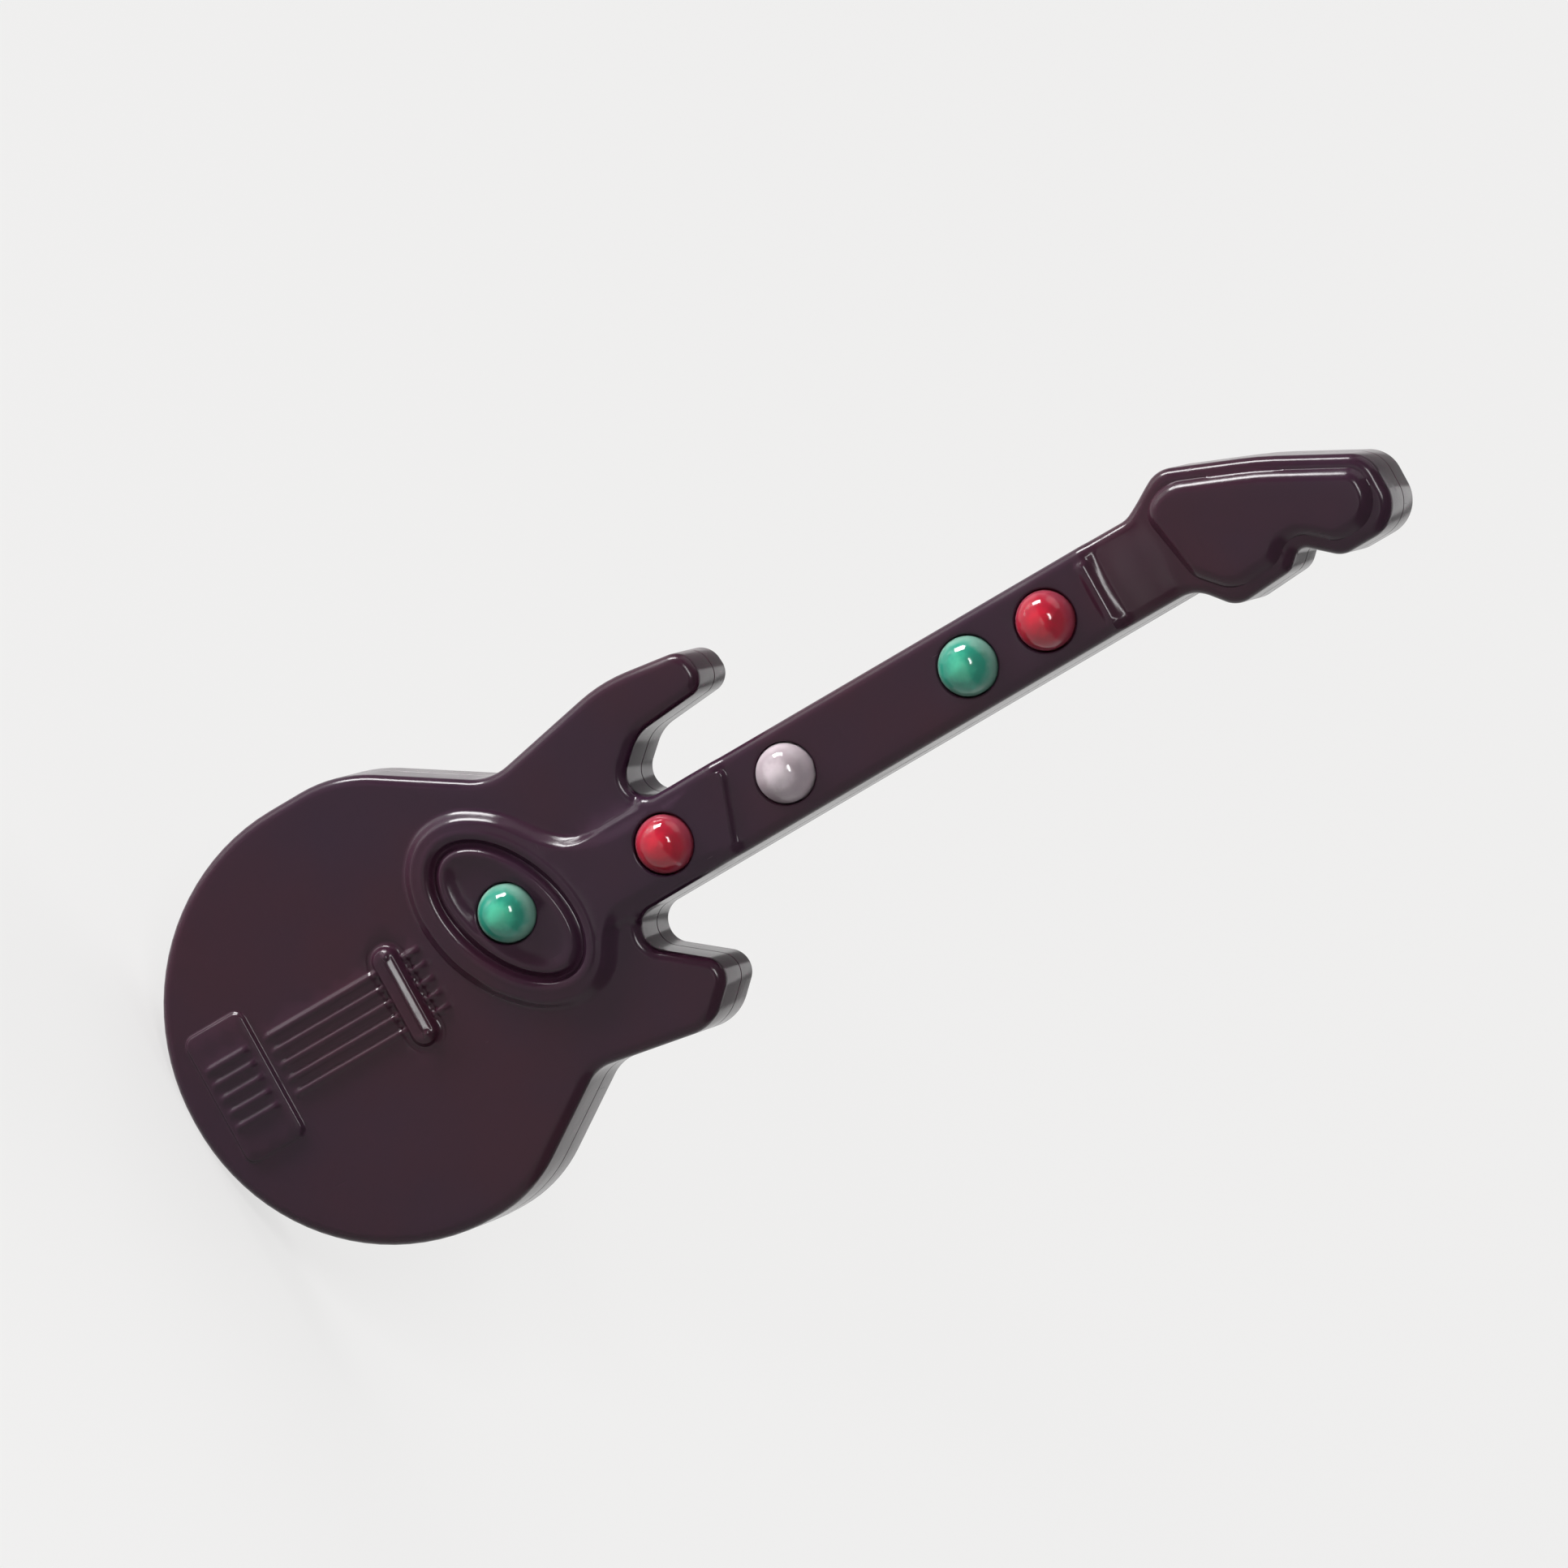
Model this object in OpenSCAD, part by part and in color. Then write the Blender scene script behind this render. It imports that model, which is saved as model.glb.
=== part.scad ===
// Toy electric guitar with five lights, of the size that a soft toy holds.
// Two moulded shells close round two boards of lights, and a hollow post on the back goes
// through the soft toy's cloth.
//
// Frame: +Z runs up the neck, the face looks towards -Y and the flat back lies on Y = 0.
// The origin is the middle of the post where it leaves the back.
//
// Everything is drawn lying on its back and stood up at the end by stand_up():
// x runs across the body, y is "along", from the strap end up the neck,
// and z is "depth", from the back to the face.

/* [Body] */
// Back face to front face of the body
body_depth = 9; // [9:0.1:11]
// Width across the round lower bout
bout_width = 38.8; // [37.6:0.2:41]
// Width at the waist
waist_width = 25.1; // [23:0.1:26.5]
// Height of the waist above the strap end, on the long horn's side
waist_along = 37.4; // [36.4:0.1:38.5]
// Half width at the widest part of the horns
horn_spread = 14.6; // [13.8:0.1:15.6]
// Tip of the long horn above the strap end
long_horn_along = 57.9; // [56:0.1:60]
// Tip of the short horn above the strap end
short_horn_along = 48; // [47:0.1:49]
// Rounding of the body's outer edges
edge_round = 1; // [0.6:0.1:1]
// Wall of both shells
wall = 1.2; // [1:0.05:1.2]
// Depth of the line where the two shells meet
parting_depth = 4; // [3.8:0.1:4.2]

/* [Neck and headstock] */
// Width of the neck where it leaves the body
neck_width = 7.9; // [7.9:0.1:8.8]
// How far the neck's middle lies towards the long horn
neck_shift = 0.25; // [0.2:0.05:0.3]
// Wall of the neck beside the lights
neck_wall = 0.86; // [0.82:0.01:0.9]
// How much one side of the neck comes in on its way up
neck_taper = 0.2; // [0:0.05:0.2]
// How far the neck stands above the body's face
neck_rise = 0.5; // [0.3:0.1:0.8]
// Nut above the strap end
nut_along = 91; // [90:0.5:97]
// Length of the headstock above the nut
head_length = 25; // [24.4:0.1:27]
// Half width of the headstock at its first lobe
head_half = 6.5; // [6.3:0.1:7]
// How far the headstock lies below the body's face
head_drop = 0.3; // [0.1:0.1:0.6]
// Height of the raised panel on the headstock
panel_rise = 0.8; // [0.6:0.1:1.2]

/* [Face] */
// Height of the raised field round the oval above the neck
field_rise = 0.4; // [0.3:0.05:0.6]
// Margin of the raised field round the oval
field_margin = 2.5; // [2.2:0.1:2.6]
// Long axis of the oval
oval_length = 15.8; // [15:0.1:16.6]
// Short axis of the oval
oval_width = 9.4; // [8.8:0.1:10]
// Lean of the oval off square to the neck, in degrees
oval_lean = 23.5; // [18:0.5:28]
// Number of moulded strings
string_count = 5; // [4:1:6]
// Pitch of the moulded strings
string_pitch = 1.33; // [1.2:0.01:1.5]
// Radius of a moulded string
string_radius = 0.3; // [0.2:0.05:0.4]
// Length of the bridge
bridge_length = 9.4; // [8.6:0.1:11]
// Width of the bridge
bridge_width = 2.7; // [2.2:0.1:3.2]
// Height of the bridge
bridge_rise = 0.7; // [0.4:0.1:1]
// Width of the tailpiece plate
tail_width = 12.2; // [10:0.1:13]
// Length of the tailpiece plate
tail_length = 6.2; // [5:0.1:6.6]
// Height of the tailpiece plate
tail_rise = 0.35; // [0.2:0.05:0.6]

/* [Lights] */
// Diameter of a light's dome
lens_diameter = 5; // [4.8:0.1:5]
// Diameter of the flange at a light's foot
flange_diameter = 5.8; // [5.5:0.05:5.8]
// How far a dome stands out of the neck
lens_stand_out = 2.2; // [1.8:0.1:2.4]
// Length of a light from its foot to the top of its dome
lens_length = 8.6; // [8.4:0.1:8.7]
// Radial clearance of a light in its hole
lens_clearance = 0.08; // [0.05:0.01:0.15]
// Pitch of a light's two legs
leg_pitch = 2.54; // [2.3:0.01:2.6]
// Side of a light's square leg
leg_size = 0.5; // [0.4:0.05:0.6]
// Thickness of the boards
board_thickness = 0.8; // [0.6:0.1:0.8]
// Gap from a board's edge to the wall beside it
board_gap = 0.15; // [0.1:0.05:0.3]
// Diameter of a jumper wire
wire_diameter = 0.8; // [0.5:0.1:1]

/* [Fixings] */
// Outer diameter of the post on the back
post_diameter = 8; // [7:0.1:10]
// Length of the post
post_length = 5; // [3:0.5:8]
// Diameter of the lead's way through the post
lead_bore = 4.8; // [3:0.1:5]
// Diameter of a shell screw's thread
screw_diameter = 2; // [1.8:0.1:2.2]
// Length of a shell screw under its head
screw_length = 5; // [4.5:0.1:5.2]
// Diameter of a shell screw's head
screw_head = 3.8; // [3.4:0.1:4]
// Diameter of a board screw's thread
board_screw_diameter = 1.6; // [1.4:0.1:1.7]
// Length of a board screw under its head
board_screw_length = 3.6; // [3:0.1:3.8]

/* [Hidden] */
light_names = ["body", "neck_1", "neck_2", "neck_3", "neck_4"];
wire_names = ["red", "yellow", "white"];

$fn = 48;
arc_step = 9; // degrees of arc to a straight side of an outline
round_steps = 4; // straight sides to a rounded edge
through = 1; // how far a cut runs past the faces that it opens

// Colours
shell_colour = [0.23, 0.19, 0.24];
board_colour = [0.16, 0.42, 0.25];
metal_colour = [0.75, 0.75, 0.77];
light_colours = [
    [0.1, 0.62, 0.45], [0.8, 0.07, 0.15], [0.87, 0.83, 0.88], [0.1, 0.62, 0.45], [0.85, 0.05, 0.1]
];
wire_colours = [[0.75, 0.08, 0.08], [0.9, 0.75, 0.1], [0.9, 0.9, 0.88]];

// Depths of faces, measured from the back
neck_depth = body_depth + neck_rise;
field_depth = neck_depth + field_rise;
head_depth = body_depth - head_drop;
panel_depth = head_depth + panel_rise;
body_inside = body_depth - wall;
neck_inside = neck_depth - wall;
head_inside = head_depth - wall;
dome_top = neck_depth + lens_stand_out;
board_front = dome_top - lens_length;
board_back = board_front - board_thickness;

// Plan sizes
bout_radius = bout_width / 2;
neck_left = neck_width / 2 + neck_shift;
head_top = nut_along + head_length;
post_along = 20; // post above the strap end
middle = -0.4; // the strings and the bridge sit a little towards the long horn

// ---------- outlines ----------

function unit(v) = v / norm(v);

// The points of the arc that rounds the corner b between a and c. "inset" moves the arc inwards,
// and keeps the number of its points, so that outlines with other insets match point for point.
function corner_arc(a, b, c, r, inset) =
    let (
        to_a = unit(a - b),
        to_c = unit(c - b),
        half_angle = acos(to_a * to_c) / 2,
        centre = b + unit(to_a + to_c) * r / sin(half_angle),
        start = b + to_a * r / tan(half_angle) - centre,
        sweep = 180 - 2 * half_angle,
        turn = cross(b - a, c - b) > 0 ? 1 : -1,
        steps = max(1, ceil(sweep / arc_step))
    )
    [for (i = [0:steps])
        let (angle = atan2(start.y, start.x) + turn * sweep * i / steps)
        centre + (r - turn * inset) * [cos(angle), sin(angle)]];

// The radius that rounds the corner b between a and c with an arc that starts "reach" from b
function radius_for(a, b, c, reach) = reach * tan(acos(unit(a - b) * unit(c - b)) / 2);

// A closed outline through corners [x, y, radius]
function rounded(corners, inset = 0) =
    let (n = len(corners), spot = [for (c = corners) [c.x, c.y]])
    [for (i = [0:n - 1])
        each corner_arc(spot[(i + n - 1) % n], spot[i], spot[(i + 1) % n], corners[i].z, inset)];

// The neck's side towards the short horn, which comes in a little on its way up
neck_foot = 40;
function neck_right(along) =
    neck_width - neck_left - neck_taper * (along - neck_foot) / (nut_along + 7 - neck_foot);
function neck_middle(along) = (neck_right(along) - neck_left) / 2;

// The bout is a half circle with shoulders that lead to the waist
shoulder_reach = 3.5;
right_shoulder = [bout_radius, bout_radius + shoulder_reach + 0.3];
right_waist = [waist_width / 2 + 0.35, waist_along - 4.1];
left_shoulder = [-bout_radius, bout_radius + shoulder_reach + 2.9];
left_waist = [0.35 - waist_width / 2, waist_along];

// Horns: how deep each cutaway runs below the horn's tip, and how thick the long horn is
short_cutaway = 9.1;
long_cutaway = 13.2;
long_horn_width = 4.7;
horn_round = 1.9;
lower_right = [
    [-bout_radius, 0, bout_radius - 0.2],
    [bout_radius, 0, bout_radius - 0.2],
    concat(right_shoulder, radius_for([bout_radius, 0], right_shoulder, right_waist, shoulder_reach)),
    concat(right_waist, 3.5),
    [horn_spread + 0.2, short_horn_along - 3.9, 4],
    [horn_spread - 3.7, short_horn_along + 0.25, horn_round],
    [neck_right(neck_foot), short_horn_along - short_cutaway, horn_round]
];
lower_left = [
    [-neck_left, long_horn_along - long_cutaway, horn_round],
    [long_horn_width + 0.6 - horn_spread, long_horn_along - 7.4, 3.5],
    [long_horn_width - horn_spread, long_horn_along, horn_round - 0.2],
    [1.1 - horn_spread, long_horn_along - 0.3, horn_round],
    [-horn_spread, long_horn_along - 8, 14],
    concat(left_waist, 5),
    concat(left_shoulder, radius_for(left_waist, left_shoulder, [-bout_radius, 0], shoulder_reach))
];

// Headstock: two lobes on the short horn's side with a notch between them, and a long bowed side.
// The places along it are counted from the nut.
lobe_start = 9.3;
lobe_end = 14.7;
notch_along = 16.2;
notch_depth = 1.75;
tip_lobe_start = 19;
tip_lobe_out = 0.7;
bow_along = 16.8;
head_crown = [
    [neck_right(nut_along + 7), nut_along + 6.8, 3],
    [head_half, nut_along + lobe_start, 2.2],
    [head_half - 0.35, nut_along + lobe_end, 1.8],
    [head_half - notch_depth, nut_along + notch_along, 0.9],
    [head_half + tip_lobe_out, nut_along + tip_lobe_start, 2],
    [head_half + tip_lobe_out, head_top, 3],
    [head_half - 5.4, head_top + 0.1, 2.8],
    [3.2 - head_half, nut_along + bow_along, 30],
    [-head_half, nut_along + 8.9, 2.6],
    [-neck_left, nut_along + 4.6, 2]
];

// The body runs on under the neck in a tongue that is a little narrower than it
tongue_inset = 0.4;
body_corners = concat(
    lower_right,
    [
        [neck_right(neck_foot) - tongue_inset, long_horn_along - 7, 1.2],
        [tongue_inset - neck_left, long_horn_along - 6, 1.2]
    ],
    lower_left
);
neck_end = nut_along + 1;
neck_start = 36;
neck_corners = [
    [neck_right(neck_start), neck_start, 1.1], [neck_right(neck_end), neck_end, 1.1],
    [-neck_left, neck_end, 1.1], [-neck_left, neck_start, 1.1]
];
head_start = nut_along - 4;
head_corners = concat(
    [[neck_right(head_start), head_start, 1.2]], head_crown, [[-neck_left, head_start, 1.2]]
);
outer_corners = concat(lower_right, head_crown, lower_left);

// The panel follows the headstock's outline and starts above the nut's step
panel_margin = 1.15;
panel_start = nut_along + 5;
panel_corners = concat(
    [[neck_right(panel_start) - 0.4, panel_start + 1.4, 2]],
    [[head_half, nut_along + lobe_start + 0.2, 2.2]],
    [for (i = [2:8]) head_crown[i]],
    [[-neck_left - 0.2, panel_start, 2]]
);

// The oval and the lights, as [x, y]
oval_centre = [-2, 33.7];
light_along = [33.5, 48.4, 60.4, 78.4, 86];
light_spots = [for (i = [0:4]) [i == 0 ? oval_centre.x + 0.1 : neck_middle(light_along[i]), light_along[i]]];

function leaning(p) = oval_centre + [
    p.x * cos(oval_lean) - p.y * sin(oval_lean),
    p.x * sin(oval_lean) + p.y * cos(oval_lean)
];

// The raised field: an oval round the oval that runs out into the neck with fillets, and steps
// down across the neck on a slant. Its round part runs between two of the oval's angles.
field_long = oval_length / 2 + field_margin;
field_short = oval_width / 2 + field_margin;
field_side = neck_right(neck_foot) - 0.5;
field_far_side = 0.45 - neck_left;
field_end = 55.2;
field_slant = 1.3;
field_turns = [110, 385];
field_sides = 10;
field_half_turn = (field_turns[1] - field_turns[0]) / field_sides / 2;
field_oval = [for (i = [0:field_sides - 1])
    let (turn = field_turns[0] + (2 * i + 1) * field_half_turn)
    leaning([field_long * cos(turn), field_short * sin(turn)] / cos(field_half_turn))];

// Where the line on from a through b meets the side x
function run_on(a, b, x) = b + (b - a) * (x - b.x) / (b.x - a.x);
function on_field(turn) = leaning([field_long * cos(turn), field_short * sin(turn)]);
field_join = run_on(field_oval[field_sides - 1], on_field(field_turns[1]), field_side);
field_far_join = run_on(field_oval[0], on_field(field_turns[0]), field_far_side);
field_loop = concat([field_far_join], field_oval, [field_join]);
field_corners = concat(
    [for (i = [1:field_sides])
        let (a = field_loop[i - 1], b = field_loop[i], c = field_loop[i + 1],
            reach = 0.48 * norm(field_oval[1] - field_oval[0]))
        concat(b, radius_for(a, b, c, min(reach, 0.48 * norm(b - a), 0.48 * norm(c - b))))],
    [
        concat(field_join, 1.6),
        [field_side, field_end - field_slant, 0.8],
        [field_far_side, field_end + field_slant, 0.8],
        concat(field_far_join, 8)
    ]
);

function ellipse(a, b, n = 48) = [for (i = [0:n - 1]) [a * cos(360 * i / n), b * sin(360 * i / n)]];
module oval(inset = 0) translate(oval_centre) rotate(oval_lean)
    polygon(ellipse(oval_length / 2 - inset, oval_width / 2 - inset));

// ---------- helpers ----------

module stand_up() translate([0, 0, -post_along]) rotate([90, 0, 0]) children();

// From depth a to depth b
module between(a, b) translate([0, 0, a]) linear_extrude(b - a) children();

module disc(d, a, b) translate([0, 0, a]) cylinder(d = d, h = b - a);

module at(spots) for (s = spots) translate([s.x, s.y, 0]) children();

// A slab from depth a to depth b, whose edge at b is rounded by r: a core, and a closed rim round it
module rounded_slab(corners, a, b, r, inset = 0) {
    rim = 0.1; // how far the rim reaches into the core
    section = concat(
        [[0, a]],
        [for (i = [0:round_steps]) [r - r * cos(90 * i / round_steps), b - r + r * sin(90 * i / round_steps)]],
        [[r + rim, b - rim], [r + rim, a + rim], [r, a]]
    );
    rings = [for (s = section) rounded(corners, inset + s.x)];
    n = len(rings[0]);
    m = len(section);
    points = [for (k = [0:m - 1]) for (p = rings[k]) [p.x, p.y, section[k].y]];
    faces = [for (k = [0:m - 1]) for (i = [0:n - 1])
        let (next = (k + 1) % m, j = (i + 1) % n)
        [k * n + i, next * n + i, next * n + j, k * n + j]];
    polyhedron(points, faces);
    between(a, b) polygon(rounded(corners, inset + r));
}

// ---------- shells ----------

// Shell screws and board screws, as [x, y]. Each shell screw keeps its place from an edge or a tip.
bout_screw = [7.4, 11.5];
long_horn_screw = [4.4, 14.4];
short_horn_screw = [4.8, 8.6];
head_screw = [0.6, 12.5];
shell_screw_spots = [
    [bout_screw.x - bout_radius, bout_screw.y], [bout_radius - bout_screw.x, bout_screw.y],
    [long_horn_screw.x - horn_spread, long_horn_along - long_horn_screw.y],
    [horn_spread - short_horn_screw.x, short_horn_along - short_horn_screw.y],
    [head_screw.x, nut_along + head_screw.y]
];
neck_screw_along = 69.4;
board_screw_spots = [[-7, 27], [4.4, 27], [neck_middle(neck_screw_along), neck_screw_along]];
screw_clearance = 0.1;
screw_head_height = 1.2;
screw_seat = 1.6; // depth of the face that a shell screw's head bears on
front_boss = screw_diameter + 2.6;
back_boss = screw_head + 2;
board_boss = board_screw_diameter + 2;

// Lip that locates the shells on each other round the lower bout and the waist
lip_height = 0.8;
lip_width = 0.7;
lip_gap = 0.1;
lip_end = 36;

module front_room() {
    between(parting_depth - through, body_inside) polygon(rounded(body_corners, wall));
    between(parting_depth - through, neck_inside) polygon(rounded(neck_corners, neck_wall));
    between(parting_depth - through, head_inside) polygon(rounded(head_corners, neck_wall));
}

module strings() {
    bridge_along = 22.1;
    plate_start = 3.2;
    plate_end = plate_start + tail_length;
    plate_top = body_depth + tail_rise;
    left = middle - tail_width / 2;
    right = middle + tail_width / 2;
    rounded_slab(
        [[left, plate_start, 1.5], [right, plate_start, 1.5], [right, plate_end, 1.5], [left, plate_end, 1.5]],
        body_inside, plate_top, 0.2
    );
    for (i = [0:string_count - 1]) translate([middle + (i - (string_count - 1) / 2) * string_pitch, 0]) {
        translate([0, plate_start + 0.9, plate_top]) rotate([-90, 0, 0])
            cylinder(r = string_radius, h = tail_length - 2.2, $fn = 16);
        translate([0, plate_end + 0.3, body_depth]) rotate([-90, 0, 0])
            cylinder(r = string_radius, h = bridge_along + bridge_width - plate_end - 0.3, $fn = 16);
    }
    // bridge, with the saddle along its top
    half_length = bridge_length / 2;
    half_width = bridge_width / 2;
    translate([middle + 0.2, bridge_along]) {
        rounded_slab(
            [for (c = [[-1, -1], [1, -1], [1, 1], [-1, 1]])
                [c.x * half_length, c.y * half_width, half_width - 0.05]],
            body_inside, body_depth + bridge_rise, 0.35
        );
        translate([bridge_width / 2 - half_length, 0, body_depth + bridge_rise]) rotate([0, 90, 0])
            cylinder(d = 0.7, h = bridge_length - bridge_width, $fn = 16);
    }
}

module front_solid() {
    rounded_slab(body_corners, parting_depth, body_depth, edge_round);
    rounded_slab(neck_corners, parting_depth, neck_depth, 0.8);
    rounded_slab(head_corners, parting_depth, head_depth, 0.8);
    rounded_slab(field_corners, body_inside, field_depth, 0.4);
    rounded_slab(panel_corners, head_inside, panel_depth, 0.5, panel_margin);
    strings();
    // nut
    translate([neck_right(nut_along) - 0.6, nut_along, neck_depth - 0.1]) rotate([0, -90, 0])
        cylinder(d = 1.4, h = neck_right(nut_along) + neck_left - 1.2);
}

module front_shell() color(shell_colour) stand_up() difference() {
    union() {
        difference() {
            front_solid();
            front_room();
        }
        at(shell_screw_spots) disc(front_boss, parting_depth, head_inside + 0.2);
        at([for (i = [0:3]) shell_screw_spots[i]]) disc(front_boss, head_inside, body_inside + 0.2);
        at(board_screw_spots) disc(board_boss, board_front, body_inside + 0.7);
    }
    at(shell_screw_spots)
        disc(screw_diameter + screw_clearance, parting_depth - through, screw_seat + screw_length + 0.3);
    at(board_screw_spots)
        disc(board_screw_diameter + screw_clearance, board_front - through, board_front + board_screw_length);
    at(light_spots) disc(lens_diameter + 2 * lens_clearance, parting_depth, dome_top);
    // groove round the oval, and the shallow dish inside it
    between(field_depth - 0.45, field_depth + through) difference() {
        oval();
        oval(0.8);
    }
    between(field_depth - 0.25, field_depth + through) oval(1.5);
}

module back_shell() color(shell_colour) stand_up() difference() {
    union() {
        difference() {
            mirror([0, 0, 1]) rounded_slab(outer_corners, -parting_depth, 0, edge_round);
            between(wall, parting_depth + through) {
                polygon(rounded(body_corners, wall));
                polygon(rounded(neck_corners, neck_wall));
                polygon(rounded(head_corners, neck_wall));
            }
        }
        // locating lip
        between(wall - 0.2, parting_depth + lip_height) difference() {
            polygon(rounded(body_corners, wall + lip_gap));
            polygon(rounded(body_corners, wall + lip_gap + lip_width));
            translate([-bout_width, lip_end]) square(2 * bout_width);
        }
        at(shell_screw_spots) disc(back_boss, wall - 0.2, parting_depth);
        translate([0, post_along]) disc(post_diameter, -post_length, wall);
    }
    at(shell_screw_spots) disc(screw_head + 0.4, -through, screw_seat);
    at(shell_screw_spots) disc(screw_diameter + 0.2, 0, parting_depth + through);
    translate([0, post_along]) disc(lead_bore, -post_length - through, wall + through);
}

// ---------- lights ----------

// A light's two metal legs: the one on the left carries the cup of the chip on a broad anvil
module light_legs(stretch = 0) {
    leg_foot = board_back - 0.5;
    rise = board_front + 4.2; // top of the cup's foot
    half = leg_pitch / 2;
    thin = leg_size / 2;
    rotate([90, 0, 0]) translate([0, 0, -thin]) linear_extrude(leg_size) {
        polygon([
            [-half - thin, leg_foot], [thin - half, leg_foot], [thin - half, board_front + 1.4],
            [0.1, board_front + 2.6], [0.1, rise], [-1.1, rise],
            [-half - thin, board_front + 2.2]
        ]);
        polygon([
            [half - thin, leg_foot], [half + thin, leg_foot], [half + thin, rise + 0.2],
            [0.45, rise + 0.2], [0.45, rise - 0.9], [half - thin, board_front + 2.2]
        ]);
    }
    translate([-0.5, 0, rise]) difference() {
        cylinder(d = 1.5, h = 0.7);
        translate([0, 0, 0.3]) cylinder(d1 = 0.6, d2 = 1.2, h = 0.4 + 0.01);
    }
}

module light_lens() difference() {
    union() {
        disc(flange_diameter, board_front, board_front + 1);
        disc(lens_diameter, board_front, dome_top - lens_diameter / 2);
        translate([0, 0, dome_top - lens_diameter / 2]) sphere(d = lens_diameter);
    }
    light_legs();
}

module lens(i) color(light_colours[i]) stand_up() at([light_spots[i]]) light_lens();
module legs(i) color(metal_colour) stand_up() at([light_spots[i]]) light_legs();

// ---------- boards and wiring ----------

board_bottom = 23.5;
board_top = 38.5;
body_board_corners = [
    [-9.4, board_bottom, 1], [6.5, board_bottom, 1], [6.5, board_top, 1], [-9.4, board_top, 1]
];
neck_board_start = 40;
neck_board_end = nut_along - 2;
board_inset = neck_wall + board_gap;
neck_board_corners = [
    [neck_right(neck_board_start), neck_board_start, 1.4], [neck_right(neck_board_end), neck_board_end, 1.4],
    [-neck_left, neck_board_end, 1.4], [-neck_left, neck_board_start, 1.4]
];
leg_hole = 1;
jumper_reach = 2.2; // from the middle of a jumper wire's hoop to its ends
jumper_along = (board_top + neck_board_start + board_inset) / 2;
header_width = 6.2;
header_length = 3.8;
header_height = 3.2;
header_spot = [-1.3, board_bottom + header_length / 2];
pin_pitch = 1.25;
pin_size = 0.4;

module board_holes() {
    at(light_spots) for (side = [-1, 1]) translate([side * leg_pitch / 2, 0]) circle(d = leg_hole);
    at(board_screw_spots) circle(d = board_screw_diameter + 0.2);
    at([header_spot]) for (i = [0:3]) translate([(i - 1.5) * pin_pitch, 0]) circle(d = 0.7);
}

module body_board() color(board_colour) stand_up() between(board_back, board_front) difference() {
    polygon(rounded(body_board_corners));
    board_holes();
    at(shell_screw_spots) circle(d = back_boss + 2 * board_gap);
}

module neck_board() color(board_colour) stand_up() between(board_back, board_front) difference() {
    polygon(rounded(neck_board_corners, board_inset));
    board_holes();
}

// One small resistor to each light, beside it on the board's front
resistor_length = 3.2;
resistor_width = 1.6;
resistor_height = 0.6;
resistor_spots = [[4.2, 33], [-1.3, 54.4], [1.1, 54.4], [-0.1, 65.4], [-0.1, 72.9]];
module resistors() color([0.15, 0.15, 0.16]) stand_up() at(resistor_spots)
    translate([-resistor_width / 2, -resistor_length / 2, board_front])
        cube([resistor_width, resistor_length, resistor_height]);

module lead_header() color([0.92, 0.9, 0.84]) stand_up() at([header_spot])
    translate([-header_width / 2, -header_length / 2, board_front]) difference() {
        cube([header_width, header_length, header_height]);
        translate([0.6, -through, 0.7]) cube([header_width - 1.2, header_length - 1 + through, header_height - 1.3]);
        for (i = [0:3]) translate([header_width / 2 + (i - 1.5) * pin_pitch, header_length / 2, -through])
            cylinder(d = 0.7, h = 1.5 + through);
    }

// Bent pins: up through the board, then out towards the strap end inside the header
module header_pins() color(metal_colour) stand_up() at([header_spot]) for (i = [0:3])
    translate([(i - 1.5) * pin_pitch - pin_size / 2, -pin_size / 2, 0]) {
        pin_level = board_front + header_height / 2;
        translate([0, 0, board_back - 0.5]) cube([pin_size, pin_size, pin_level - board_back + 0.5]);
        translate([0, pin_size - header_length / 2, pin_level - pin_size])
            cube([pin_size, header_length / 2 - pin_size / 2, pin_size]);
    }

// Jumper wires: half hoops from board to board
module jumper_wire(i) color(wire_colours[i]) stand_up()
    translate([(i - 1) * 1.6, jumper_along, board_front]) rotate([90, 0, 90])
        rotate_extrude(angle = 180) translate([jumper_reach, 0]) circle(d = wire_diameter, $fn = 24);

// ---------- screws ----------

board_screw_head = 2.8;
board_screw_head_height = 0.7;
driver_slot = 0.4;

module screw(spots, head, height, thread, seat, length) at(spots) difference() {
    union() {
        disc(head, seat - height, seat);
        disc(thread, seat, seat + length);
    }
    for (turn = [0, 90]) rotate(turn) translate([-head / 3, -driver_slot / 2, seat - height - through])
        cube([2 * head / 3, driver_slot, through + height / 2]);
}

module shell_screws() color(metal_colour) stand_up()
    screw(shell_screw_spots, screw_head, screw_head_height, screw_diameter, screw_seat, screw_length);

module board_screws() color(metal_colour) stand_up()
    screw(
        board_screw_spots, board_screw_head, board_screw_head_height,
        board_screw_diameter, board_back, board_screw_length
    );

front_shell();
back_shell();
for (i = [0:4]) lens(i);
for (i = [0:4]) legs(i);
body_board();
neck_board();
resistors();
lead_header();
header_pins();
for (i = [0:2]) jumper_wire(i);
shell_screws();
board_screws();
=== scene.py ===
import math

import bmesh
import bpy
import numpy as np
from mathutils import Matrix, Vector
from mathutils.geometry import delaunay_2d_cdt


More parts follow.
